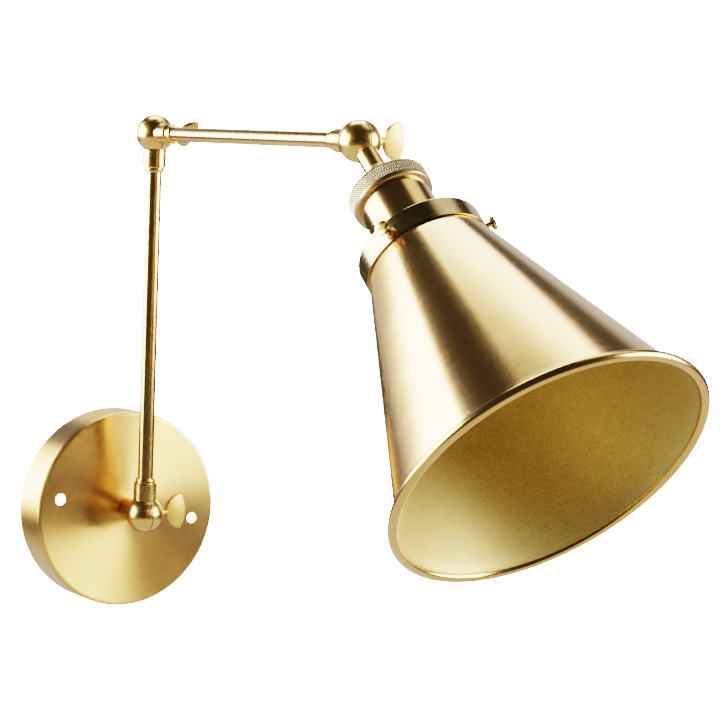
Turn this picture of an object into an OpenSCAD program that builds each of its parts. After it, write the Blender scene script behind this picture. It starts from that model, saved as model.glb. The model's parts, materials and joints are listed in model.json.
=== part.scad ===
// Swing arm wall sconce. Millimetres, +Z up. The origin is the centre of the
// canopy's back face, which lies on the wall (the plane Y = 0); the room is at -Y.

/* [Canopy] */
// Outer diameter of the canopy
canopy_d = 120; // [110:1:130]
// Depth of the canopy, from the wall to its front face
canopy_depth = 25.4; // [24:0.2:28]
// Thickness of the canopy's sheet
canopy_wall = 1.2; // [1:0.1:1.6]
// Distance between the two wall screw holes
hole_spacing = 92; // [86:0.5:94]
// Diameter of a wall screw hole
hole_d = 7; // [5:0.1:8]
// Turn of the hole line about the canopy's axis
hole_turn = 12; // [-45:1:45]

/* [Knuckles] */
// Radius of the split balls
ball_r = 11.2; // [10.8:0.1:11.6]
// Gap between the two halves of a ball, filled by the friction washer
seam = 0.5; // [0.4:0.1:0.6]
// Distance from the wall to the centre of the base ball
base_reach = 47; // [46:0.5:52]
// Radius of the wing screws' threads
screw_r = 2; // [1.9:0.1:2.2]

/* [Arms] */
// Distance from the base ball to the elbow ball
lower_len = 229.5; // [180:0.5:260]
// Lean of the lower arm away from the wall
lower_lean = 3.6; // [-5:0.1:20]
// Outer radius of the lower arm's tube
lower_tube_r = 4.6; // [4.4:0.1:4.8]
// Outer radius of the lower arm's ferrules
lower_ferrule_r = 6.9; // [6.6:0.1:7]
// Distance from the elbow ball to the shade ball
upper_len = 217.8; // [180:0.5:260]
// Drop of the upper arm below the horizontal
upper_drop = 0.9; // [-5:0.1:10]
// Outer radius of the upper arm's tube
upper_tube_r = 4.2; // [3.9:0.1:4.2]
// Outer radius of the upper arm's ferrules
upper_ferrule_r = 6.2; // [6:0.1:6.4]

/* [Shade head] */
// Drop of the shade's axis below the horizontal
shade_drop = 43; // [0:1:90]
// Outer radius of the stem below the shade ball
stem_r = 5.8; // [5.6:0.1:6]
// Outer radius of the knurled socket cap
cap_r = 21.2; // [21:0.1:23]
// Outer radius of the socket cup
cup_r = 18.4; // [18.2:0.1:18.6]
// Outer radius of the shade gallery
gallery_r = 32.8; // [32.6:0.1:34]
// Outer radius of the cone where it leaves the gallery
cone_top_r = 31.9; // [31.6:0.1:32]
// Outer radius of the cone where its rim begins
cone_mouth_r = 76.2; // [60:0.5:90]
// Distance from the shade ball to the shade's mouth
shade_reach = 219.6; // [180:0.5:240]
// Radius of the rolled bead around the mouth
bead_r = 2.5; // [2.2:0.1:2.8]
// Angle of the first gallery screw about the shade's axis
screw_phase = 32; // [0:1:60]

/* [Hidden] */
$fn = 96;

brass = "#c9a24e";
dark_brass = "#a98038";
steel = "#b9bcc0";
porcelain = "#ece8dd";
fibre = "#3a2f28";
insulation = "#e6e2d6";

far = 1;            // the half of a ball on the +X side
near = -1;          // the half of a ball on the -X side
running = 0.05;     // radial clearance of a screw in its hole
seat = 0.02;        // radial gap between pieces fixed to each other
half_gap = 0.25;    // gap between a ferrule and the ball half that turns under it
cavity_r = 8.2;     // radius of the wire space in a ball
boss_r = 3.6;       // radius of the screw bosses in a ball
wire_r = 3;         // radius of the wire way through a ferrule
lead_r = 0.9;       // outer radius of an insulated lead
lead_x = 1.3;       // offset of the leads from the hinge's middle plane
lead_y = 0.95;      // half of the distance between two leads
lead_end = 9;       // distance from a ball's centre at which the leads end
socket_depth = 8;   // depth to which a tube enters its ferrule
tube_wall = 0.9;

canopy_edge = 2.2;  // outer radius of the canopy's front edge
nipple_r = 5;       // M10 x 1 nipple between canopy and neck
nipple_bore = 3.6;
neck_gap = 0.1;     // gap between the neck's foot and the canopy's face
washer_t = 0.8;
nut_t = 3;

lower_collar = 19.8;    // end of the lower ferrules' full radius, from the ball's centre
lower_shoulder = 22.4;  // end of their rounded shoulders
upper_collar = 20.6;
upper_shoulder = 25.2;
stem_len = 21.5;

blade_x = 14.4;     // nearest point of a wing screw's blade to the ball's centre
blade_w = 13.4;     // width of the blade along the screw
blade_r = 10.5;     // radius of the blade's inner edge
blade_outer_r = 19.2;
blade_root_t = 3.2; // thickness of the blade at the screw
blade_edge_t = 1.3; // thickness of the blade at its outer edge
neck_r = 2.6;       // collar between a wing screw's shank and its blade
neck_x = 11.4;      // start of the collar
base_turn = 2;      // turns of the wing screws at rest
elbow_turn = 47;
shade_turn = 7;

cap_z = 34.7;       // start of the knurled band
knurl_end = 41.9;   // end of the knurled band
cap_end = 44.1;     // end of the plain bevel
hub_r = 6.5;
nut_z = 29.5;       // seat of the locknut inside the cap
cap_wall = 1.6;
stem_nipple_r = 4;
stem_nipple_bore = 2.6;
cup_top = 36.6;
gallery_z = 73;     // back face of the gallery's plate
gallery_h = 11.5;
gallery_wall = 1.2;
holder_r = 15.9;    // threaded sleeve of the lamp holder
shell_r = 13.2;     // inside of the lamp holder's screw shell
shell_z = 59;
shell_step = 3.6;   // height of the shell's narrower foot
terminal_y = 9;     // distance of a terminal screw from the shade's axis
shell_len = 22;
shade_wall = 0.9;
collar_r = 30.6;    // shade collar inside the gallery
collar_z = 75.6;
gallery_screw_z = 78.8;
gallery_screw_r = 1.5;

base_pos = [0, -base_reach, 0];
elbow_pos = base_pos + lower_len * [0, -sin(lower_lean), cos(lower_lean)];
tip_pos = elbow_pos + upper_len * [0, -cos(upper_drop), -sin(upper_drop)];
big = 60;

// ---- placements: children lie along local +Z from the ball's centre ----
module on_wall() { rotate([90, 0, 0]) children(); }
module along_neck() { translate(base_pos) rotate([-90, 0, 0]) children(); }
module along_lower() { translate(base_pos) rotate([lower_lean, 0, 0]) children(); }
module back_down_lower() { translate(elbow_pos) rotate([180 + lower_lean, 0, 0]) children(); }
module along_upper() { translate(elbow_pos) rotate([90 + upper_drop, 0, 0]) children(); }
module back_along_upper() { translate(tip_pos) rotate([upper_drop - 90, 0, 0]) children(); }
module along_shade() { translate(tip_pos) rotate([90 + shade_drop, 0, 0]) children(); }

// ---- shared shapes ----
// Half section of a cup with a rounded edge, closed at height h
module cup_section(r, h, e) {
    square([r - e, h]);
    square([r, h - e]);
    translate([r - e, h - e]) circle(e, $fn = 48);
}

// Solid of revolution between two radii
module ring(r_out, r_in, h) {
    difference() {
        cylinder(r = r_out, h = h);
        translate([0, 0, -1]) cylinder(r = r_in, h = h + 2);
    }
}

// The half space beyond the seam, on one side of the hinge's middle plane
module side_of(side, from) {
    translate([side > 0 ? from : -from - big, -big / 2, -big / 2]) cube([big, big, big]);
}

// Ferrule: full radius to collar, then a rounded shoulder down to the tube
module ferrule(r, tube_r, collar, shoulder) {
    step = (r - tube_r) * 0.55;
    cylinder(r = r, h = collar - 0.6);
    translate([0, 0, collar - 0.6]) cylinder(r1 = r, r2 = r - 0.6, h = 0.6);
    rotate_extrude() {
        square([tube_r + step, (collar + shoulder) / 2]);
        square([tube_r + step * 0.4, shoulder]);
        translate([tube_r + step * 0.4, (collar + shoulder) / 2])
            scale([step * 0.6, (shoulder - collar) / 2]) circle(1, $fn = 32);
    }
}

// Sphere turned so that its meridian edge lies in the half that is cut away
module ball(side, r) { rotate([0, 0, side == far ? 180 : 0]) sphere(r); }

// One half of a split ball with its stub along local +Z. The stub is whole, and
// clears the other half; both halves are hollow for the wires.
module ball_half(side) {
    difference() {
        union() {
            difference() {
                union() {
                    intersection() {
                        ball(side, ball_r);
                        side_of(side, seam / 2);
                    }
                    difference() {
                        children();
                        intersection() {
                            ball(side, ball_r + half_gap);
                            side_of(-side, -seam / 2);
                        }
                    }
                }
                ball(side, cavity_r);
                cylinder(r = wire_r, h = big);
            }
            intersection() {
                rotate([0, side * 90, 0]) translate([0, 0, seam / 2])
                    cylinder(r = boss_r, h = ball_r - 2 - seam / 2);
                ball(side, ball_r - 1);
            }
        }
        rotate([0, side * 90, 0])
            cylinder(r = screw_r + running, h = side == far ? big : ball_r - 2);
    }
}

module friction_washer() {
    color(fibre) rotate([0, 90, 0]) translate([0, 0, -seam / 2 + seat])
        ring(ball_r - 0.5, 6.4, seam - 2 * seat);
}

// Wing screw along +X: shank, collar and lens-shaped blade
module wing_screw(turn) {
    color(brass) rotate([turn, 0, 0]) {
        rotate([0, 90, 0]) rotate([0, 0, 45]) rotate_extrude() polygon([
            [0, -8.4], [screw_r, -8.4], [screw_r, neck_x], [neck_r, neck_x],
            [neck_r, neck_x + 1.4], [1.4, blade_x + 1.1], [0, blade_x + 1.1]
        ]);
        intersection() {
            rotate([90, 0, 0]) translate([blade_x + blade_r, 0, -5]) cylinder(r = blade_r, h = 10);
            rotate([90, 0, 0]) translate([blade_x + blade_w - blade_outer_r, 0, -5])
                cylinder(r = blade_outer_r, h = 10);
            translate([blade_x, 0, -20]) linear_extrude(40) polygon([
                [-1, -blade_root_t / 2], [blade_w + 1, -blade_edge_t / 2],
                [blade_w + 1, blade_edge_t / 2], [-1, blade_root_t / 2]
            ]);
        }
    }
}

// Tube between two ferrules a given distance apart
module arm_tube(r, len, end) {
    translate([0, 0, end]) ring(r, r - tube_wall, len - 2 * end);
}

// Two insulated leads side by side, in the half of the wire way on one side
module leads(side, from, to) {
    color(insulation) for (s = [-1, 1]) translate([side * lead_x, s * lead_y, from])
        cylinder(r = lead_r, h = to - from, $fn = 24);
}

// Hexagonal nut
module hex_nut(flats, bore, h) {
    difference() {
        cylinder(r = flats / 2 / cos(30), h = h, $fn = 6);
        translate([0, 0, -1]) cylinder(r = bore, h = h + 2);
    }
}

// ---- canopy and neck ----
module canopy() {
    color(brass) on_wall() difference() {
        rotate_extrude() difference() {
            cup_section(canopy_d / 2, canopy_depth, canopy_edge);
            cup_section(canopy_d / 2 - canopy_wall, canopy_depth - canopy_wall,
                canopy_edge - canopy_wall);
        }
        cylinder(r = nipple_r + running, h = big);
        for (s = [-1, 1]) rotate([0, 0, -hole_turn]) translate([s * hole_spacing / 2, 0, 0])
            cylinder(d = hole_d, h = big);
    }
}

module base_nipple() {
    color(steel) on_wall() translate([0, 0, canopy_depth - 12])
        ring(nipple_r, nipple_bore, 12 + neck_gap + socket_depth);
}

module base_locknut() {
    color(steel) on_wall() translate([0, 0, canopy_depth - canopy_wall - washer_t - nut_t - 0.1])
        hex_nut(14, nipple_r + seat, nut_t);
}

module base_toothed_washer() {
    teeth = 12;
    color(steel) on_wall() translate([0, 0, canopy_depth - canopy_wall - washer_t - 0.05])
        difference() {
            union() {
                cylinder(r = 7.4, h = washer_t);
                for (i = [0 : teeth - 1]) rotate([0, 0, i * 360 / teeth])
                    translate([6.9, -0.7, 0]) cube([2, 1.4, washer_t]);
            }
            translate([0, 0, -1]) cylinder(r = nipple_r + 0.1, h = washer_t + 2);
        }
}

module base_neck() {
    reach = base_reach - canopy_depth - neck_gap;
    color(brass) along_neck() difference() {
        ball_half(near) {
            cylinder(r = lower_ferrule_r, h = reach - 0.5);
            translate([0, 0, reach - 0.5])
                cylinder(r1 = lower_ferrule_r, r2 = lower_ferrule_r - 0.5, h = 0.5);
        }
        translate([0, 0, reach - socket_depth - 0.2])
            cylinder(r = nipple_r + seat, h = socket_depth + 1);
    }
}

module base_friction_washer() { translate(base_pos) friction_washer(); }
module base_wing_screw() { translate(base_pos) wing_screw(base_turn); }

// ---- lower arm ----
module lower_end(side) {
    difference() {
        ball_half(side)
            ferrule(lower_ferrule_r, lower_tube_r, lower_collar, lower_shoulder);
        translate([0, 0, lower_shoulder - socket_depth])
            cylinder(r = lower_tube_r + seat, h = big);
    }
}

module lower_arm_foot() { color(brass) along_lower() lower_end(far); }
module lower_arm_head() { color(brass) back_down_lower() lower_end(far); }

module lower_arm_tube() {
    color(brass) along_lower()
        arm_tube(lower_tube_r, lower_len, lower_shoulder - socket_depth + 0.1);
}

module lower_arm_leads() { along_lower() leads(far, lead_end, lower_len - lead_end); }

// ---- upper arm ----
module upper_end(side) {
    difference() {
        ball_half(side)
            ferrule(upper_ferrule_r, upper_tube_r, upper_collar, upper_shoulder);
        translate([0, 0, upper_shoulder - socket_depth])
            cylinder(r = upper_tube_r + seat, h = big);
    }
}

module upper_arm_heel() { color(brass) along_upper() upper_end(near); }
module upper_arm_tip() { color(brass) back_along_upper() upper_end(near); }

module upper_arm_tube() {
    color(brass) along_upper()
        arm_tube(upper_tube_r, upper_len, upper_shoulder - socket_depth + 0.1);
}

module upper_arm_leads() { along_upper() leads(near, lead_end, upper_len - lead_end); }

module elbow_friction_washer() { translate(elbow_pos) friction_washer(); }
module elbow_wing_screw() { translate(elbow_pos) wing_screw(elbow_turn); }
module shade_friction_washer() { translate(tip_pos) friction_washer(); }
module shade_wing_screw() { translate(tip_pos) wing_screw(shade_turn); }

// ---- shade head ----
module shade_stem() {
    color(brass) along_shade() difference() {
        ball_half(far) {
            cylinder(r = stem_r, h = stem_len - 0.3);
            translate([0, 0, stem_len - 0.3])
                cylinder(r1 = stem_r, r2 = stem_r - 0.3, h = 0.3);
        }
        translate([0, 0, stem_len - socket_depth - 0.2])
            cylinder(r = stem_nipple_r + seat, h = big);
    }
}

module stem_nipple() {
    color(steel) along_shade() translate([0, 0, stem_len - socket_depth])
        ring(stem_nipple_r, stem_nipple_bore, nut_z + nut_t + 1 - stem_len + socket_depth);
}

module cap_locknut() {
    color(steel) along_shade() translate([0, 0, nut_z])
        hex_nut(12, stem_nipple_r + seat, nut_t);
}

// Domed cap: a hub round the stem nipple, a shallow dome, the band that is
// knurled, and a plain bevel
module socket_cap() {
    dome_r = 30;
    dome_z = 27.5 + dome_r;
    color(dark_brass) along_shade() difference() {
        union() {
            translate([0, 0, stem_len + 0.05]) cylinder(r1 = hub_r - 0.3, r2 = hub_r + 0.6, h = 7);
            intersection() {
                translate([0, 0, dome_z]) sphere(dome_r);
                translate([0, 0, stem_len]) cylinder(r = cap_r - 0.4, h = cap_z - stem_len + 1);
            }
            translate([0, 0, cap_z]) cylinder(r = cap_r, h = knurl_end - cap_z);
            translate([0, 0, knurl_end]) cylinder(r1 = cap_r, r2 = cap_r - 0.5, h = cap_end - knurl_end);
        }
        intersection() {
            translate([0, 0, dome_z + cap_wall]) sphere(dome_r);
            translate([0, 0, dome_z + cap_wall - dome_r - 1]) cylinder(r = cup_r - 0.8, h = big);
        }
        translate([0, 0, nut_z - 0.02]) cylinder(r = 7.6, h = nut_t);
        translate([0, 0, cup_top - 0.1]) cylinder(r = cup_r + seat, h = big);
        cylinder(r = stem_nipple_r + seat, h = big);
    }
}

module socket_cup() {
    color(brass) along_shade() difference() {
        translate([0, 0, cup_top]) cylinder(r = cup_r, h = gallery_z - cup_top - seat);
        translate([0, 0, cup_top - 1]) cylinder(r = cup_r - 1, h = gallery_z - cup_top - 0.2);
        cylinder(r = holder_r + 0.1, h = big * 2);
    }
}

// Porcelain lamp holder: a body inside the cup and a threaded sleeve through
// the gallery's plate
module lamp_holder() {
    body_z = 47;
    color(porcelain) along_shade() difference() {
        union() {
            translate([0, 0, body_z]) cylinder(r = cup_r - 1.3, h = gallery_z - 1.4 - body_z);
            translate([0, 0, body_z]) cylinder(r = holder_r, h = shell_z + shell_len + 2 - body_z);
        }
        translate([0, 0, shell_z - 1]) cylinder(r = shell_r + 0.6 + seat, h = big);
        translate([0, 0, body_z - 1]) cylinder(r = 1.6, h = big);
        for (s = [-1, 1]) translate([0, s * terminal_y, body_z - 1]) cylinder(r = 1.3, h = 8);
    }
}

module screw_shell() {
    color(brass) along_shade() difference() {
        union() {
            translate([0, 0, shell_z]) cylinder(r = shell_r + 0.6, h = shell_len);
            translate([0, 0, shell_z - 0.6]) cylinder(r = shell_r + 0.6, h = 0.6);
        }
        translate([0, 0, shell_z + shell_step]) cylinder(r = shell_r, h = shell_len);
        translate([0, 0, shell_z]) cylinder(r = shell_r - 1, h = shell_len);
        translate([0, 0, shell_z - 2]) cylinder(r = 7, h = 4);
    }
}

// Centre contact: a rivet through the porcelain with a bent tongue
module centre_contact() {
    color(dark_brass) along_shade() {
        translate([0, 0, 49]) cylinder(r = 1.5, h = 9.3);
        translate([-2, -2.2, 58.05]) cube([4, 8, 0.6]);
        translate([0, 5.2, 58.1]) rotate([-22, 0, 0]) translate([-2, -8.2, 0]) cube([4, 8.4, 0.6]);
    }
}

module terminal_screws() {
    color(steel) along_shade() for (s = [-1, 1]) translate([0, s * terminal_y, 0]) difference() {
        union() {
            translate([0, 0, 46.95 - 1.8]) cylinder(r = 2.6, h = 1.8);
            translate([0, 0, 46]) cylinder(r = 1.25, h = 7);
        }
        translate([-3, -0.4, 44]) cube([6, 0.8, 1.9]);
    }
}

// Leads from the ball's wire space through the stem, spread to the terminals
module socket_leads() {
    bend_z = 42;
    along_shade() {
        leads(far, lead_end, bend_z);
        color(insulation) for (s = [-1, 1]) translate([far * lead_x, s * lead_y, bend_z]) {
            sphere(lead_r, $fn = 24);
            rotate([-s * 48, 0, 0]) cylinder(r = lead_r, h = 6.4, $fn = 24);
        }
    }
}

// Gallery: a plate on the end of the socket cup with a skirt round the shade
module shade_gallery() {
    color(brass) along_shade() difference() {
        translate([0, 0, gallery_z + gallery_h]) mirror([0, 0, 1]) rotate_extrude() difference() {
            cup_section(gallery_r, gallery_h, 1);
            cup_section(gallery_r - gallery_wall, gallery_h - gallery_wall, 0.3);
        }
        cylinder(r = holder_r + 0.1, h = big * 2);
        for (i = [0 : 2]) gallery_screw_place(i) cylinder(r = gallery_screw_r + running, h = big);
    }
}

module gallery_ring_nut() {
    color(steel) along_shade() translate([0, 0, gallery_z + gallery_wall + 0.05])
        difference() {
            ring(20, holder_r + seat, 4);
            for (i = [0 : 3]) rotate([0, 0, 45 + i * 90]) translate([18.6, -1.2, 1.5])
                cube([3, 2.4, 4]);
        }
}

// Straight cone with a plain collar and lip at the top and a rolled rim
module cone_shade() {
    cone_z = gallery_z + gallery_h + 0.3;
    bead_z = shade_reach - bead_r;
    lip_w = 0.7;
    color(brass) along_shade() rotate_extrude() {
        translate([collar_r - shade_wall, collar_z]) {
            square([shade_wall, cone_z + shade_wall - collar_z]);
            square([shade_wall + lip_w, shade_wall]);
        }
        translate([collar_r - shade_wall, cone_z])
            square([cone_top_r - collar_r + shade_wall, shade_wall]);
        polygon([
            [cone_top_r - shade_wall * 1.06, cone_z],
            [cone_top_r, cone_z],
            [cone_mouth_r + 0.4, bead_z],
            [cone_mouth_r + 0.4 - shade_wall * 1.06, bead_z]
        ]);
        translate([cone_mouth_r + bead_r - 0.2, bead_z]) circle(bead_r, $fn = 48);
    }
}

// Places a gallery screw's axis along local +Z, pointing outwards
module gallery_screw_place(i) {
    rotate([0, 0, screw_phase + i * 120]) translate([0, 0, gallery_screw_z]) rotate([0, 90, 0])
        children();
}

// Slotted screw with a flared, flat head
module gallery_screw(i) {
    neck = gallery_r + 3.2;
    head = gallery_r + 5.4;
    head_r = 3.8;
    color(brass) along_shade() gallery_screw_place(i) difference() {
        rotate_extrude() polygon([
            [0, collar_r + 0.15], [gallery_screw_r, collar_r + 0.15], [gallery_screw_r, neck],
            [2.2, neck + 0.3], [head_r, neck + 1], [head_r, head - 0.4], [head_r - 0.4, head],
            [0, head]
        ]);
        rotate([0, 0, 80]) translate([-5, -0.4, head - 0.9]) cube([10, 0.8, 3]);
    }
}

module gallery_screw_a() { gallery_screw(0); }
module gallery_screw_b() { gallery_screw(1); }
module gallery_screw_c() { gallery_screw(2); }

canopy();
base_nipple();
base_locknut();
base_toothed_washer();
base_neck();
base_friction_washer();
base_wing_screw();
lower_arm_foot();
lower_arm_tube();
lower_arm_head();
lower_arm_leads();
elbow_friction_washer();
elbow_wing_screw();
upper_arm_heel();
upper_arm_tube();
upper_arm_tip();
upper_arm_leads();
shade_friction_washer();
shade_wing_screw();
shade_stem();
stem_nipple();
cap_locknut();
socket_cap();
socket_cup();
lamp_holder();
screw_shell();
centre_contact();
terminal_screws();
socket_leads();
shade_gallery();
gallery_ring_nut();
cone_shade();
gallery_screw_a();
gallery_screw_b();
gallery_screw_c();
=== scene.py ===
import json
import math

import bmesh
import bpy
from mathutils import Matrix, Quaternion, Vector


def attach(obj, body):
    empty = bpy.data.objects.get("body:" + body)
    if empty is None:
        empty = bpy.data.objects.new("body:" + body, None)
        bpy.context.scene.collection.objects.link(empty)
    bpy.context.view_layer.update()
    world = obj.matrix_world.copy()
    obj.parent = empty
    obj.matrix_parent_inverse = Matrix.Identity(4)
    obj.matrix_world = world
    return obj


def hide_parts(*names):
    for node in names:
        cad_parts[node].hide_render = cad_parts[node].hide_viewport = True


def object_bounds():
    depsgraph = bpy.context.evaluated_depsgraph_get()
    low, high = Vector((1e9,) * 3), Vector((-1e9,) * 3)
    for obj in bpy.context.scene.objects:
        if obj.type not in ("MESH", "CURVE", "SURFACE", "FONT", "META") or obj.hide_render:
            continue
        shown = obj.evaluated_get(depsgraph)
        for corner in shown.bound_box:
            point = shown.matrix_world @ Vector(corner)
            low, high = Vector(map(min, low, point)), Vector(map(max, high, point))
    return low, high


# Looks of a brass swing arm wall sconce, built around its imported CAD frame.
# Metres, in the frame of the CAD: the wall is the plane Y = 0, the room is at -Y.
# Pieces that replace CAD nodes are drawn in millimetres, on a local Z axis.

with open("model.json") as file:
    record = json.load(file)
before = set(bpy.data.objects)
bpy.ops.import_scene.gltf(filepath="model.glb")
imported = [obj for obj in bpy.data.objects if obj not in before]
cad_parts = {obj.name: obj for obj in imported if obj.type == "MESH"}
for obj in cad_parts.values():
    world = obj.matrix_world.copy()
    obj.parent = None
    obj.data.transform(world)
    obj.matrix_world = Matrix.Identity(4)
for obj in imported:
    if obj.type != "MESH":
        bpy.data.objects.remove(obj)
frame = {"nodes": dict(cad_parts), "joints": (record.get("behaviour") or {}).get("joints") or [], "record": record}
cad_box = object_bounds()
nodes = frame["nodes"]
scene = bpy.context.scene
MM = 0.001


# ---------------------------------------------------------------- places
joints = {j["name"]: j for j in frame["joints"]}
mounts = {m["name"]: m for m in frame["record"]["mounts"]}

ROOM = Vector((0, -1, 0))
RIGHT = Vector((1, 0, 0))
WALL = Vector((0, 0, 0))
BASE = Vector(joints["base_tilt"]["pos_m"])
ELBOW = Vector(joints["elbow"]["pos_m"])
TIP = Vector(joints["shade_tilt"]["pos_m"])
LOWER_AXIS = (ELBOW - BASE).normalized()
UPPER_AXIS = (TIP - ELBOW).normalized()
SHADE_AXIS = Vector(mounts["lamp_socket"]["axis"]).normalized()


def in_mm(origin, axis, side=RIGHT):
    """Matrix for a piece drawn in mm: its Z lies along axis, its X as near side as can be."""
    z = axis.normalized()
    x = (side - z * side.dot(z)).normalized()
    y = z.cross(x)
    turn = Matrix((x, y, z)).transposed().to_4x4()
    return Matrix.Translation(origin) @ turn @ Matrix.Scale(MM, 4)


def reach(node, origin, axis):
    """Lowest and highest point of a CAD node along an axis, and its largest radius, in mm."""
    low, high, widest = math.inf, -math.inf, 0
    for vertex in nodes[node].data.vertices:
        arm = vertex.co - origin
        height = arm.dot(axis)
        low, high = min(low, height), max(high, height)
        widest = max(widest, (arm - axis * height).length)
    return low / MM, high / MM, widest / MM


# ---------------------------------------------------------------- shader helpers
FULL = (0.0, 1.0)
NOISE_SPAN = (0.3, 0.7)  # where nearly all of a noise texture's values lie


def add(tree, kind, inputs=None, **settings):
    """Adds a shader node. An input is a constant, or another node's output socket."""
    made = tree.nodes.new(kind)
    for name, value in settings.items():
        setattr(made, name, value)
    for key, value in (inputs or {}).items():
        if isinstance(value, bpy.types.NodeSocket):
            tree.links.new(value, made.inputs[key])
        else:
            made.inputs[key].default_value = value
    return made


def calc(tree, operation, a, b):
    return add(tree, "ShaderNodeMath", {0: a, 1: b}, operation=operation).outputs[0]


def mixed(tree, a, b, share):
    """Two patterns added up, with that share of the first."""
    return calc(tree, "ADD", calc(tree, "MULTIPLY", a, share), calc(tree, "MULTIPLY", b, 1 - share))


def vector(tree, operation, a, b=(0, 0, 0)):
    made = add(tree, "ShaderNodeVectorMath", {0: a, 1: b}, operation=operation)
    return made.outputs["Value" if operation in ("DOT_PRODUCT", "LENGTH") else "Vector"]


def scaled(tree, a, factor):
    made = add(tree, "ShaderNodeVectorMath", {0: a, "Scale": factor}, operation="SCALE")
    return made.outputs["Vector"]


def noise(tree, where, scale, detail, rough, w=None):
    inputs = {"Vector": where, "Scale": scale, "Detail": detail, "Roughness": rough}
    if w is not None:
        inputs["W"] = w
    made = add(tree, "ShaderNodeTexNoise", inputs, noise_dimensions="3D" if w is None else "4D")
    return made.outputs["Fac"]


def spread(tree, value, span, to=FULL):
    """Maps one span of values to another, held at both ends."""
    made = add(tree, "ShaderNodeMapRange", {
        "Value": value, "From Min": span[0], "From Max": span[1], "To Min": to[0], "To Max": to[1]})
    return made.outputs["Result"]


def tint(tree, shader, factor, tones):
    """Base colour between the second of two tones, at 0, and the first, at 1."""
    made = add(tree, "ShaderNodeMix", {0: factor}, data_type="RGBA")
    made.inputs[6].default_value = (*tones[1], 1)
    made.inputs[7].default_value = (*tones[0], 1)
    tree.links.new(made.outputs[2], shader.inputs["Base Color"])


def roughen(tree, shader, pattern, low, high):
    """Roughness that follows a pattern."""
    level = spread(tree, pattern, NOISE_SPAN, (low, high))
    tree.links.new(level, shader.inputs["Roughness"])


def emboss(tree, shader, pattern, strength, depth):
    """Bump from a pattern, that many metres deep."""
    bump = add(tree, "ShaderNodeBump", {"Strength": strength, "Distance": depth, "Height": pattern})
    tree.links.new(bump.outputs["Normal"], shader.inputs["Normal"])


def coat(shader, weight, rough):
    """A clear lacquer or glaze."""
    shader.inputs["Coat Weight"].default_value = weight
    shader.inputs["Coat Roughness"].default_value = rough


def new_material(name):
    material = bpy.data.materials.new(name)
    material.use_nodes = True
    tree = material.node_tree
    return material, tree, tree.nodes["Principled BSDF"]


def object_place(tree):
    return add(tree, "ShaderNodeTexCoord").outputs["Object"]


# ---------------------------------------------------------------- materials
def finish_metal(tree, shader, tones, rough, lines, patches, line_bump):
    """Colour, roughness and bump that every bare metal here shares.

    lines is the fine pattern left by the tool, patches the slow variation of the tone."""
    tone_span = (0.35, 0.68)
    line_depth = 0.00004
    tint(tree, shader, spread(tree, mixed(tree, patches, lines, 0.7), tone_span), tones)
    roughen(tree, shader, mixed(tree, lines, patches, 0.6), rough * 0.82, rough * 1.2)
    emboss(tree, shader, lines, line_bump, line_depth)
    shader.inputs["Metallic"].default_value = 1.0


def turned_metal(name, tones, rough, centre, axis, anisotropy, pitch, streak, line_bump=0.25):
    """Metal brushed round an axis, as on a lathe. Its highlights fan out across the brushing.

    pitch is the width of a line in mm, and a higher streak makes shorter lines."""
    patch_scale = 22.0
    material, tree, shader = new_material(name)
    spot = object_place(tree)
    arm = vector(tree, "SUBTRACT", spot, centre)
    height = vector(tree, "DOT_PRODUCT", arm, axis)
    flat = vector(tree, "SUBTRACT", arm, scaled(tree, tuple(axis), height))
    radius = vector(tree, "LENGTH", flat)
    outwards = vector(tree, "NORMALIZE", flat)
    per_metre = 1 / (pitch * MM)
    along = scaled(tree, tuple(axis), calc(tree, "MULTIPLY", height, per_metre))
    track = vector(tree, "ADD", scaled(tree, outwards, streak), along)
    lines = noise(tree, track, 1.0, 3.0, 0.65, w=calc(tree, "MULTIPLY", radius, per_metre))
    patches = noise(tree, spot, patch_scale, 3.0, 0.55)
    finish_metal(tree, shader, tones, rough, lines, patches, line_bump)
    round_it = vector(tree, "CROSS_PRODUCT", tuple(axis), arm)
    turned = add(tree, "ShaderNodeVectorTransform", {"Vector": round_it},
                 vector_type="VECTOR", convert_from="OBJECT", convert_to="WORLD").outputs[0]
    normal = add(tree, "ShaderNodeNewGeometry").outputs["Normal"]
    across = vector(tree, "CROSS_PRODUCT", normal, turned)
    tree.links.new(vector(tree, "NORMALIZE", across), shader.inputs["Tangent"])
    shader.inputs["Anisotropic"].default_value = anisotropy
    coat(shader, 0.8, 0.22)
    return material


def plain_metal(name, tones, rough, grain, line_bump=0.12, lacquer=0.8):
    """Metal with a fine grain of that size in mm."""
    patch_scale = 60.0
    material, tree, shader = new_material(name)
    spot = object_place(tree)
    lines = noise(tree, spot, 1 / (grain * MM), 3.0, 0.6)
    patches = noise(tree, spot, patch_scale, 3.0, 0.55)
    finish_metal(tree, shader, tones, rough, lines, patches, line_bump)
    coat(shader, lacquer, 0.15)
    return material


def speckled_metal(name, tones, rough, grain):
    """Sprayed metal paint with bright and dark flakes of that size in mm."""
    flake_span = (0.36, 0.66)
    flake_depth = 0.00012
    cloud_scale = 14.0
    material, tree, shader = new_material(name)
    spot = object_place(tree)
    flakes = noise(tree, spot, 1 / (grain * MM), 2.0, 0.7)
    cloud = noise(tree, spot, cloud_scale, 3.0, 0.5)
    tint(tree, shader, spread(tree, mixed(tree, flakes, cloud, 0.75), flake_span), tones)
    roughen(tree, shader, flakes, rough * 1.15, rough * 0.8)
    emboss(tree, shader, flakes, 0.6, flake_depth)
    shader.inputs["Metallic"].default_value = 0.6
    return material


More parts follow.
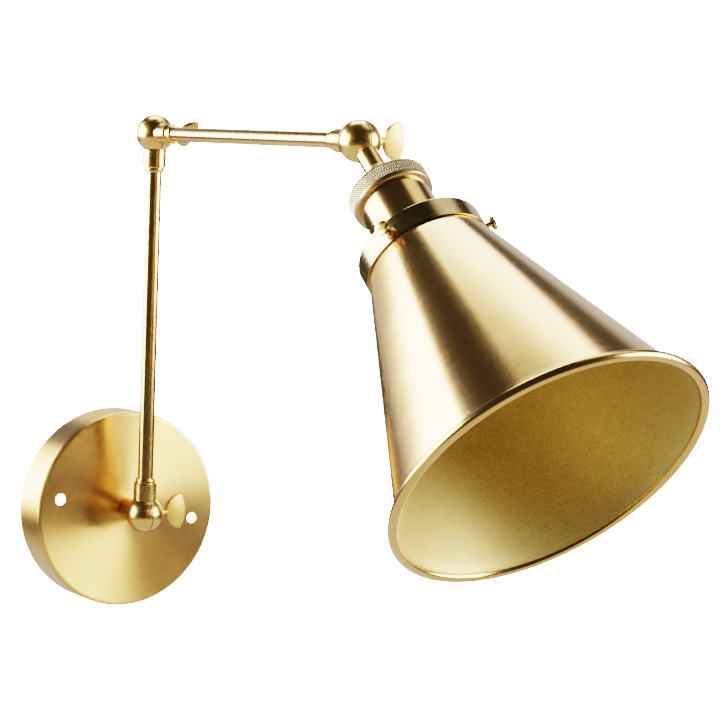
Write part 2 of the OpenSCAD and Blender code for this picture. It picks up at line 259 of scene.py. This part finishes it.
def smooth_plastic(name, tones, rough, grain, bump, glaze=0.0):
    """Moulded, glazed or extruded stuff with a soft mottle of that size in mm."""
    mottle_depth = 0.0001
    material, tree, shader = new_material(name)
    mottle = noise(tree, object_place(tree), 1 / (grain * MM), 4.0, 0.6)
    tint(tree, shader, spread(tree, mottle, NOISE_SPAN), tones)
    roughen(tree, shader, mottle, rough * 0.8, rough * 1.25)
    emboss(tree, shader, mottle, bump, mottle_depth)
    coat(shader, glaze, 0.05)
    return material


# Two tones of each stuff: its own, and the one in its duller patches
BRASS = (0.85, 0.53, 0.17), (0.72, 0.42, 0.115)
CAST_BRASS = (0.76, 0.46, 0.14), (0.63, 0.36, 0.095)
KNURLED_BRASS = (0.60, 0.44, 0.22), (0.30, 0.22, 0.12)
# A darker brass for the gallery, which dims its reflections; not a patina
DARKER_BRASS = (0.60, 0.43, 0.18), (0.33, 0.23, 0.09)
GOLD_PAINT = (0.80, 0.62, 0.24), (0.60, 0.43, 0.15)
ZINC = (0.62, 0.63, 0.64), (0.45, 0.46, 0.48)
PORCELAIN = (0.88, 0.86, 0.80), (0.80, 0.77, 0.70)
FIBRE = (0.050, 0.036, 0.028), (0.025, 0.018, 0.014)
INSULATION = (0.80, 0.78, 0.70), (0.72, 0.69, 0.60)

canopy_brass = turned_metal(
    "canopy_brass", BRASS, 0.38, WALL, ROOM, anisotropy=0.9, pitch=0.3, streak=7.0)
shade_brass = turned_metal(
    "shade_brass", BRASS, 0.2, TIP, SHADE_AXIS, anisotropy=0.5, pitch=0.6, streak=1.6,
    line_bump=0.03)
cup_brass = turned_metal(
    "cup_brass", BRASS, 0.2, TIP, SHADE_AXIS, anisotropy=0.4, pitch=0.3, streak=8.0)
knurl_brass = turned_metal(
    "knurl_brass", KNURLED_BRASS, 0.34, TIP, SHADE_AXIS, anisotropy=0.0, pitch=0.25, streak=60.0)
lower_brass = turned_metal(
    "lower_brass", BRASS, 0.2, BASE, LOWER_AXIS, anisotropy=0.2, pitch=0.5, streak=6.0,
    line_bump=0.08)
upper_brass = turned_metal(
    "upper_brass", BRASS, 0.2, ELBOW, UPPER_AXIS, anisotropy=0.2, pitch=0.5, streak=6.0,
    line_bump=0.08)
satin_brass = plain_metal("satin_brass", BRASS, 0.25, grain=0.6, line_bump=0.05)
polished_brass = plain_metal("polished_brass", BRASS, 0.13, grain=1.2, line_bump=0.05)
wing_brass = plain_metal("wing_brass", CAST_BRASS, 0.36, grain=0.3, line_bump=0.3, lacquer=0.5)
gallery_brass = plain_metal("gallery_brass", DARKER_BRASS, 0.2, grain=2.5)
zinc_steel = plain_metal("zinc_steel", ZINC, 0.3, grain=0.4, line_bump=0.25)
matt_inside = speckled_metal("matt_inside", GOLD_PAINT, 0.5, grain=0.55)
porcelain = smooth_plastic("porcelain", PORCELAIN, 0.16, grain=6.0, bump=0.05, glaze=0.6)
fibre = smooth_plastic("fibre", FIBRE, 0.7, grain=0.3, bump=0.5)
insulation = smooth_plastic("insulation", INSULATION, 0.45, grain=2.0, bump=0.1)


def paint(material, *names):
    """Gives carried-over CAD nodes their material."""
    for name in names:
        mesh = nodes[name].data
        mesh.materials.clear()
        mesh.materials.append(material)


paint(canopy_brass, "canopy")
paint(satin_brass, "base_neck", "lower_arm_foot", "lower_arm_head", "upper_arm_heel",
      "upper_arm_tip", "shade_stem")
paint(lower_brass, "lower_arm_tube")
paint(upper_brass, "upper_arm_tube")
paint(cup_brass, "socket_cup")
paint(gallery_brass, "shade_gallery")
paint(polished_brass, "gallery_ring_nut", "centre_contact")
paint(zinc_steel, "base_toothed_washer", "stem_nipple", "cap_locknut", "terminal_screws")
paint(porcelain, "lamp_holder")
paint(fibre, "base_friction_washer", "elbow_friction_washer", "shade_friction_washer")
paint(insulation, "lower_arm_leads", "upper_arm_leads", "socket_leads")


# ---------------------------------------------------------------- mesh helpers
def finished(name, made, where, sharp, *materials):
    """Turns a bmesh into an object, smooth but for edges sharper than that many degrees."""
    bmesh.ops.recalc_face_normals(made, faces=made.faces)
    mesh = bpy.data.meshes.new(name)
    made.to_mesh(mesh)
    made.free()
    mesh.transform(where)
    mesh.shade_smooth()
    mesh.set_sharp_from_angle(angle=math.radians(sharp))
    for material in materials:
        mesh.materials.append(material)
    piece = bpy.data.objects.new(name, mesh)
    scene.collection.objects.link(piece)
    return piece


def arc(centre_r, centre_z, radius, start, end, steps):
    """Points of a section's arc, by angles in degrees from outwards towards +Z."""
    points = []
    for i in range(steps + 1):
        angle = math.radians(start + (end - start) * i / steps)
        points.append((centre_r + radius * math.cos(angle), centre_z + radius * math.sin(angle)))
    return points


def lathe(made, section, segments, closed=True, shape=None, slot_of=None):
    """Turns a section of (radius, height) points, closed into a ring or with capped ends.

    shape(radius, height, angle) may move a point, slot_of(row) gives a row's material."""
    rings = []
    for radius, height in section:
        ring = []
        for i in range(segments):
            angle = math.tau * i / segments
            r, z = shape(radius, height, angle) if shape else (radius, height)
            ring.append(made.verts.new((r * math.cos(angle), r * math.sin(angle), z)))
        rings.append(ring)
    pairs = list(zip(rings, rings[1:]))
    if closed:
        pairs.append((rings[-1], rings[0]))
    for row, (low, high) in enumerate(pairs):
        for i in range(segments):
            j = (i + 1) % segments
            face = made.faces.new((low[i], low[j], high[j], high[i]))
            if slot_of:
                face.material_index = slot_of(row)
    if not closed:
        made.faces.new(rings[0])
        made.faces.new(rings[-1])


def in_fixed_order(made):
    """The same mesh with its points and faces sorted, since a bevel leaves them in any order."""
    points = sorted(made.verts, key=lambda v: tuple(v.co))
    number = {point: i for i, point in enumerate(points)}
    loops = []
    for face in made.faces:
        loop = [number[point] for point in face.verts]
        first = loop.index(min(loop))
        loops.append(loop[first:] + loop[:first])
    fresh = bmesh.new()
    copies = [fresh.verts.new(point.co) for point in points]
    for loop in sorted(loops):
        fresh.faces.new([copies[i] for i in loop])
    made.free()
    return fresh


def filled(start, end, step):
    """Numbers from start to end, both included, about step apart."""
    count = max(1, round(abs(end - start) / step))
    return [start + (end - start) * i / count for i in range(count + 1)]


def ridge(turns):
    """A V-shaped wave, 0 in its grooves and 1 on its crests."""
    return 1 - abs(2 * (turns % 1) - 1)


def fading(height, low, high, run_out):
    """1 between two heights, falling to 0 at both over the run-out."""
    return max(0.0, min(1.0, (height - low) / run_out, (high - height) / run_out))


def thread(pitch, depth, crest, low, high):
    """Shape of a screw thread cut into a rod between two heights."""
    def cut(radius, height, angle):
        if radius < crest - 1e-6:
            return radius, height
        groove = 1 - ridge(height / pitch - angle / math.tau)
        return radius - depth * fading(height, low, high, pitch) * groove, height
    return cut


# ---------------------------------------------------------------- pieces
ON_AXIS = 0.0001  # radius where a solid rod's section ends, so that its cap has some width


def knurled_cap():
    """The socket cap with its diamond knurls, turned dome and plain bevel."""
    low, high, widest = reach("socket_cap", TIP, SHADE_AXIS)
    band_low, band_high = high - 9.4, high - 2.2
    knurls, depth, row = 100, 0.5, 0.2
    rise = knurls / (math.tau * widest)

    def cut(radius, height, angle):
        if not band_low + row <= height <= band_high - row or radius < widest - 0.01:
            return radius, height
        turns = knurls * angle / math.tau
        up = (height - band_low) * rise
        return radius - depth * (1 - min(ridge(turns + up), ridge(turns - up))), height

    bore, hub_top, hub_foot, hub_inside = 4.02, 6.15, 7.1, 7.6
    nut_seat = low + 7.95
    dome, wall, dome_step = 30.0, 1.6, 0.9
    dome_centre = low + 5.95 + dome
    cup, cup_end, inner_edge = 18.42, high - 7.5, 17.6
    section = [(bore, low), (hub_top, low), (hub_foot, low + 6.5)]
    for radius in filled(hub_foot + 0.4, widest - 0.9, dome_step):
        section.append((radius, dome_centre - math.sqrt(dome ** 2 - radius ** 2)))
    section += arc(widest - 0.5, band_low + 0.1, 0.5, -90, 0, 4)
    section += [(widest, z) for z in filled(band_low + row, band_high - row, row)]
    section += [(widest - 0.12, band_high), (widest - 0.5, high - 0.25), (widest - 0.75, high)]
    section += [(cup, high), (cup, cup_end), (inner_edge, cup_end - 0.1)]
    for radius in filled(inner_edge, 8.0, dome_step):
        section.append((radius, dome_centre + wall - math.sqrt(dome ** 2 - radius ** 2)))
    section += [(hub_inside, nut_seat), (bore, nut_seat)]
    made = bmesh.new()
    lathe(made, section, knurls * 8, shape=cut)
    return finished("knurled_cap", made, in_mm(TIP, SHADE_AXIS), 50, knurl_brass)


def spun_shade():
    """The cone with its collar and rolled rim; bright outside, matt inside."""
    low, high, widest = reach("cone_shade", TIP, SHADE_AXIS)
    wall, bead, collar, cone_top = 0.9, 2.5, 30.6, 31.9
    shoulder, bend, edge, row = low + 9.2, 0.5, 0.4, 6
    slope = (widest - 4.4 - cone_top) / (high - bead - shoulder)
    bead_r, bead_z = widest - bead, high - bead
    meet_z = bead_z - 1.6

    def cone_r(z):
        return cone_top + slope * (z - shoulder)

    outside = [(collar, low + wall), (collar, shoulder - bend)]
    outside += arc(collar + bend, shoulder - bend, bend, 180, 90, 4)
    outside += [(cone_top - 0.35, shoulder)]
    outside += arc(cone_top - 0.35, shoulder + edge, edge, -90, -15, 4)
    outside += [(cone_r(z), z) for z in filled(shoulder + 1, meet_z, row)]
    crease = [(cone_r(meet_z) + 0.12, meet_z + 0.25)]
    rolled = arc(bead_r, bead_z, bead, -143, 178, 40)
    inner_top = cone_top - wall * 1.06
    inside = [(inner_top + slope * (z - shoulder), z)
              for z in filled(bead_z - 1.2, shoulder + 1.2, row)]
    inside += [(collar - wall, shoulder + wall), (collar - wall, low)]
    lip = [(collar + 0.7, low), (collar + 0.7, low + wall)]
    bright = len(outside) + len(crease) + len(rolled) - 2
    made = bmesh.new()
    lathe(made, outside + crease + rolled + inside + lip, 288,
          slot_of=lambda band: 0 if band < bright else 1)
    return finished("spun_shade", made, in_mm(TIP, SHADE_AXIS), 40, shade_brass, matt_inside)


def threaded_shell():
    """The lamp holder's screw shell, with the round thread rolled into its thin sheet."""
    low, high, widest = reach("screw_shell", TIP, SHADE_AXIS)
    pitch, depth, run_out = 3.63, 0.85, 1.5
    sheet, foot, foot_sheet = 0.4, 7.0, 0.5
    first, last = low + 2.2, high - 1.5

    def rolled(radius, height, angle):
        if radius <= foot:
            return radius, height
        wave = 0.5 - 0.5 * math.cos(math.tau * (height / pitch - angle / math.tau))
        return radius - depth * fading(height, first, last, run_out) * wave, height

    heights = filled(low + 0.6, high, 0.3)
    section = [(foot, low), (widest, low)]
    section += [(widest, z) for z in heights]
    section += [(widest - sheet, z) for z in reversed(heights)]
    section += [(foot, low + foot_sheet)]
    made = bmesh.new()
    lathe(made, section, 96, shape=rolled)
    return finished("threaded_shell", made, in_mm(TIP, SHADE_AXIS), 50, polished_brass)


def resting_turn(node, centre):
    """How far a wing screw is turned at rest, from where the upper tip of its blade is."""
    arms = [(v.co - centre).yz for v in nodes[node].data.vertices]
    furthest = max(arm.length for arm in arms)
    tip = [arm for arm in arms if arm.length > furthest - 0.2 * MM and arm.y > 0]
    return math.atan2(-sum(arm.x for arm in tip), sum(arm.y for arm in tip))


def wing_outline(low, high, inner_r, outer_r):
    """A wing screw's lens-shaped blade: a round inner edge and a flatter outer one."""
    inner_steps, outer_steps = 40, 28
    inner_x, outer_x = low + inner_r, high - outer_r
    tip_x = (outer_r ** 2 - inner_r ** 2 + inner_x ** 2 - outer_x ** 2) / (2 * (inner_x - outer_x))
    half = math.sqrt(inner_r ** 2 - (tip_x - inner_x) ** 2)
    inner_from = math.atan2(half, tip_x - inner_x)
    outer_to = math.asin(half / outer_r)
    outline = []
    for i in range(inner_steps):
        angle = inner_from + (math.tau - 2 * inner_from) * i / inner_steps
        outline.append((inner_x + inner_r * math.cos(angle), inner_r * math.sin(angle)))
    for i in range(outer_steps):
        angle = -outer_to + 2 * outer_to * i / outer_steps
        outline.append((outer_x + outer_r * math.cos(angle), outer_r * math.sin(angle)))
    return outline


def wing_screw(name, node, centre):
    """A cast wing screw: cut thread, turned collar, and a blade with rounded edges."""
    low, high, _ = reach(node, centre, RIGHT)
    shank, thread_end, shank_end = 2.0, 11.0, 11.2
    blade_low, inner_r, outer_r = high - 13.4, 10.5, 19.2
    root_half, edge_half, corner = 1.55, 0.6, 0.28
    rod = bmesh.new()
    section = [(ON_AXIS, low), (shank - 0.4, low), (shank, low + 0.4)]
    section += [(shank, z) for z in filled(low + 0.5, shank_end, 0.1)]
    section += [(shank, 11.4), (2.3, 11.4), (2.6, 11.7), (2.6, 12.5), (2.35, 12.85)]
    section += [(1.5, blade_low + 1.2), (ON_AXIS, blade_low + 1.2)]
    lathe(rod, section, 40, closed=False, shape=thread(0.7, 0.38, shank, low, thread_end))
    to_x = Matrix.Rotation(math.pi / 2, 4, "Y")
    bmesh.ops.transform(rod, matrix=to_x, verts=rod.verts)

    def half_thickness(x):
        return root_half + (edge_half - root_half) * (x - blade_low) / (high - blade_low)

    blade = bmesh.new()
    outline = wing_outline(blade_low, high, inner_r, outer_r)
    rims = []
    for side in (-1, 1):
        rims.append([blade.verts.new((x, side * half_thickness(x), z)) for x, z in outline])
    blade.faces.new(rims[0])
    blade.faces.new(rims[1])
    for i in range(len(outline)):
        j = (i + 1) % len(outline)
        blade.faces.new((rims[0][i], rims[0][j], rims[1][j], rims[1][i]))
    bmesh.ops.recalc_face_normals(blade, faces=blade.faces)
    rim_edges = [e for e in blade.edges if len({v.co.y > 0 for v in e.verts}) == 1]
    bmesh.ops.bevel(blade, geom=rim_edges, offset=corner, segments=3, profile=0.5, affect="EDGES")
    blade = in_fixed_order(blade)
    joined = bpy.data.meshes.new(name + "_rod")
    rod.to_mesh(joined)
    rod.free()
    blade.from_mesh(joined)
    bpy.data.meshes.remove(joined)
    turn = Matrix.Rotation(resting_turn(node, centre), 4, "X")
    where = Matrix.Translation(centre) @ turn @ Matrix.Scale(MM, 4)
    return finished(name, blade, where, 40, wing_brass)


def gallery_screw(name, node):
    """A slotted screw with a cut thread and a flared head with soft edges."""
    outwards = Vector(joints[node + "_out"]["axis"]).normalized()
    low_z, high_z = reach(node, TIP, SHADE_AXIS)[:2]
    foot = TIP + SHADE_AXIS * (low_z + high_z) / 2 * MM
    low, high, widest = reach(node, foot, outwards)
    shank, neck, sharp = 1.5, high - 2.2, 40
    slot_size, slot_turn = (12, 0.8, 1.8), math.radians(-80)
    rod = bmesh.new()
    section = [(ON_AXIS, low), (shank - 0.3, low), (shank, low + 0.3)]
    section += [(shank, z) for z in filled(low + 0.4, neck - 0.2, 0.08)]
    section += [(shank, neck), (1.8, neck + 0.05), (2.3, neck + 0.3), (3.2, neck + 0.65)]
    section += arc(widest - 0.3, neck + 1.2, 0.3, -60, 0, 3)
    section += arc(widest - 0.4, high - 0.4, 0.4, 0, 90, 4)
    section += [(ON_AXIS, high)]
    lathe(rod, section, 48, closed=False, shape=thread(0.5, 0.28, shank, low, neck - 0.4))
    where = in_mm(foot, outwards, SHADE_AXIS)
    piece = finished(name, rod, where, sharp)
    cut = bmesh.new()
    bmesh.ops.create_cube(cut, size=1.0)
    bmesh.ops.scale(cut, vec=slot_size, verts=cut.verts)
    bmesh.ops.rotate(cut, matrix=Matrix.Rotation(slot_turn, 3, "Z"), verts=cut.verts)
    bmesh.ops.translate(cut, vec=(0, 0, high), verts=cut.verts)
    cutter = finished(name + "_slot", cut, where, sharp)
    slot = piece.modifiers.new("slot", "BOOLEAN")
    slot.operation, slot.object, slot.solver = "DIFFERENCE", cutter, "EXACT"
    shown = bpy.context.evaluated_depsgraph_get()
    piece.data = bpy.data.meshes.new_from_object(piece.evaluated_get(shown))
    piece.modifiers.clear()
    bpy.data.objects.remove(cutter)
    piece.data.set_sharp_from_angle(angle=math.radians(sharp))
    piece.data.materials.clear()
    piece.data.materials.append(polished_brass)
    return piece


def threaded_nipple():
    """The running-thread nipple that holds the neck to the canopy."""
    low, high, widest = reach("base_nipple", WALL, ROOM)
    bore, pitch, depth, lead_in = 3.6, 1.0, 0.5, 0.4
    section = [(bore + 0.2, low), (widest - depth, low)]
    section += [(widest, z) for z in filled(low + lead_in, high - lead_in, 0.12)]
    section += [(widest - depth, high), (bore + 0.2, high), (bore, high - 0.3), (bore, low + 0.3)]
    made = bmesh.new()
    lathe(made, section, 72, shape=thread(pitch, depth, widest, low, high))
    return finished("threaded_nipple", made, in_mm(WALL, ROOM), 40, zinc_steel)


def chamfered_nut():
    """The hexagonal locknut, its corners turned down on both faces."""
    low, high, widest = reach("base_locknut", WALL, ROOM)
    bore, flats, bevel = 5.02, widest * math.cos(math.pi / 6), 0.4

    def hexagon(radius, height, angle):
        if radius < flats - 0.3:
            return radius, height
        side = flats / math.cos((angle + math.pi / 6) % (math.pi / 3) - math.pi / 6)
        edge = min(height - low, high - height)
        return min(side, flats + 0.25 + edge * 1.7), height

    section = [(bore, low + bevel), (bore + bevel, low), (flats - bevel, low)]
    section += [(flats, z) for z in filled(low, high, 0.1)]
    section += [(flats - bevel, high), (bore + bevel, high), (bore, high - bevel)]
    made = bmesh.new()
    lathe(made, section, 180, shape=hexagon)
    return finished("chamfered_nut", made, in_mm(WALL, ROOM), 25, zinc_steel)


def stand_for(piece, node, body):
    """The piece replaces a CAD node, and rides on its body."""
    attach(piece, body)
    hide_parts(node)


stand_for(knurled_cap(), "socket_cap", "shade_head")
stand_for(spun_shade(), "cone_shade", "shade_head")
stand_for(threaded_shell(), "screw_shell", "shade_head")
stand_for(threaded_nipple(), "base_nipple", "base_knuckle")
stand_for(chamfered_nut(), "base_locknut", "base_knuckle")
for knuckle, centre in (("base", BASE), ("elbow", ELBOW), ("shade", TIP)):
    wing = wing_screw(knuckle + "_wing_piece", knuckle + "_wing_screw", centre)
    stand_for(wing, knuckle + "_wing_screw", knuckle + "_screw")
for letter in "abc":
    thumb = gallery_screw("gallery_screw_piece_" + letter, "gallery_screw_" + letter)
    stand_for(thumb, "gallery_screw_" + letter, "gallery_screw_" + letter)


# ---------------------------------------------------------------- studio
def softbox(name, target, azimuth, elevation, size, power, roll=0):
    """An area light 2 m away. Azimuth 0 is out into the room, 90 to the right; degrees, metres."""
    distance = 2.0
    a, e = math.radians(azimuth), math.radians(elevation)
    towards = Vector((math.sin(a) * math.cos(e), -math.cos(a) * math.cos(e), math.sin(e)))
    light = bpy.data.lights.new(name, "AREA")
    light.shape = "RECTANGLE"
    light.size, light.size_y = size
    light.energy = power
    made = bpy.data.objects.new(name, light)
    made.location = target + towards * distance
    made.rotation_mode = "QUATERNION"
    made.rotation_quaternion = (towards.to_track_quat("Z", "Y")
                                @ Quaternion((0, 0, 1), math.radians(roll)))
    made.visible_camera = False
    scene.collection.objects.link(made)


def air(world):
    """What the metal mirrors besides the softboxes: a pale table below, a pale wall behind and a
    glow above on the right, in a dim room. The spans are parts of the unit direction."""
    table_light, wall_light, glow_light, room_light = 0.72, 0.6, 1.3, 0.045
    glow_way = (0.462, -0.082, 0.883)
    warm_white = (1.0, 0.98, 0.95, 1)
    backdrop = {"Color": (1, 1, 1, 1), "Strength": 60.0}
    world.use_nodes = True
    tree = world.node_tree
    way = add(tree, "ShaderNodeTexCoord").outputs["Generated"]
    split = add(tree, "ShaderNodeSeparateXYZ", {0: way})
    back, up = split.outputs["Y"], split.outputs["Z"]
    table = spread(tree, up, (-0.42, -0.30), (table_light, 0.0))
    wall_foot = spread(tree, up, (-0.10, 0.02), (0.0, wall_light))
    wall_head = spread(tree, up, (0.40, 0.52), (1.0, 0.0))
    behind = spread(tree, back, (0.05, 0.30))
    wall = calc(tree, "MULTIPLY", calc(tree, "MULTIPLY", wall_foot, wall_head), behind)
    near_glow = vector(tree, "DOT_PRODUCT", way, glow_way)
    glow = spread(tree, near_glow, (0.93, 0.985), (0.0, glow_light))
    brightest = calc(tree, "MAXIMUM", calc(tree, "MAXIMUM", table, wall), glow)
    mirrored = tree.nodes["Background"]
    mirrored.inputs["Color"].default_value = warm_white
    tree.links.new(calc(tree, "ADD", brightest, room_light), mirrored.inputs["Strength"])
    pale = add(tree, "ShaderNodeBackground", backdrop)
    seen = add(tree, "ShaderNodeLightPath").outputs["Is Camera Ray"]
    both = add(tree, "ShaderNodeMixShader", {0: seen, 1: mirrored.outputs[0], 2: pale.outputs[0]})
    tree.links.new(both.outputs[0], tree.nodes["World Output"].inputs["Surface"])


def pale_floor(floor_z):
    """A plain floor that curves up into a backdrop. The camera sees it, the metal doesn't."""
    front, back, half_width, bend, top = -1.15, 2.6, 4.0, 0.6, 1.75
    bend_steps = 12
    section = [(front, 0.0)]
    for i in range(bend_steps + 1):
        turn = math.radians(90 * i / bend_steps)
        section.append((back - bend + bend * math.sin(turn), bend - bend * math.cos(turn)))
    section.append((back, top - floor_z))
    made = bmesh.new()
    rows = [[made.verts.new((x, y, floor_z + z)) for x in (-half_width, half_width)]
            for y, z in section]
    for low, high in zip(rows, rows[1:]):
        made.faces.new((low[0], low[1], high[1], high[0]))
    material, _, shader = new_material("pale_floor")
    shader.inputs["Base Color"].default_value = (0.8, 0.8, 0.8, 1)
    shader.inputs["Roughness"].default_value = 0.9
    shader.inputs["Emission Color"].default_value = (1, 1, 1, 1)
    shader.inputs["Emission Strength"].default_value = 30
    floor = finished("pale_floor", made, Matrix.Identity(4), 35, material)
    floor.visible_glossy = False
    floor.visible_diffuse = False


def studio(centre):
    """A softbox on either side, and one above and behind."""
    softbox("left_softbox", centre, -125, 13, size=(2.3, 1.5), power=150, roll=-12)
    softbox("right_softbox", centre, 52, 11, size=(1.35, 1.35), power=72)
    softbox("top_softbox", centre, 151, 60, size=(1.3, 0.85), power=18)
    scene.world = bpy.data.worlds.new("studio_air")
    air(scene.world)


def camera():
    """A long lens from the left, a little above, as the sconce is usually pictured."""
    stand = (-0.6151, -1.2045, 0.2259)
    yaw, down, roll = math.radians(33.67), math.radians(5.74), math.radians(0.46)
    data = bpy.data.cameras.new("camera")
    data.lens, data.sensor_width = 109.05, 36.0
    data.clip_start, data.clip_end = 0.05, 30
    made = bpy.data.objects.new("camera", data)
    turn = (Matrix.Rotation(-yaw, 4, "Z") @ Matrix.Rotation(math.pi / 2 - down, 4, "X")
            @ Matrix.Rotation(roll, 4, "Z"))
    made.matrix_world = Matrix.Translation(stand) @ turn
    scene.collection.objects.link(made)
    scene.camera = made


FLOOR_DROP = 0.36  # from the lamp's lowest point to the studio floor

scene.view_settings.view_transform = "Filmic"
scene.view_settings.look = "High Contrast"
studio((cad_box[0] + cad_box[1]) / 2)
pale_floor(cad_box[0].z - FLOOR_DROP)
camera()
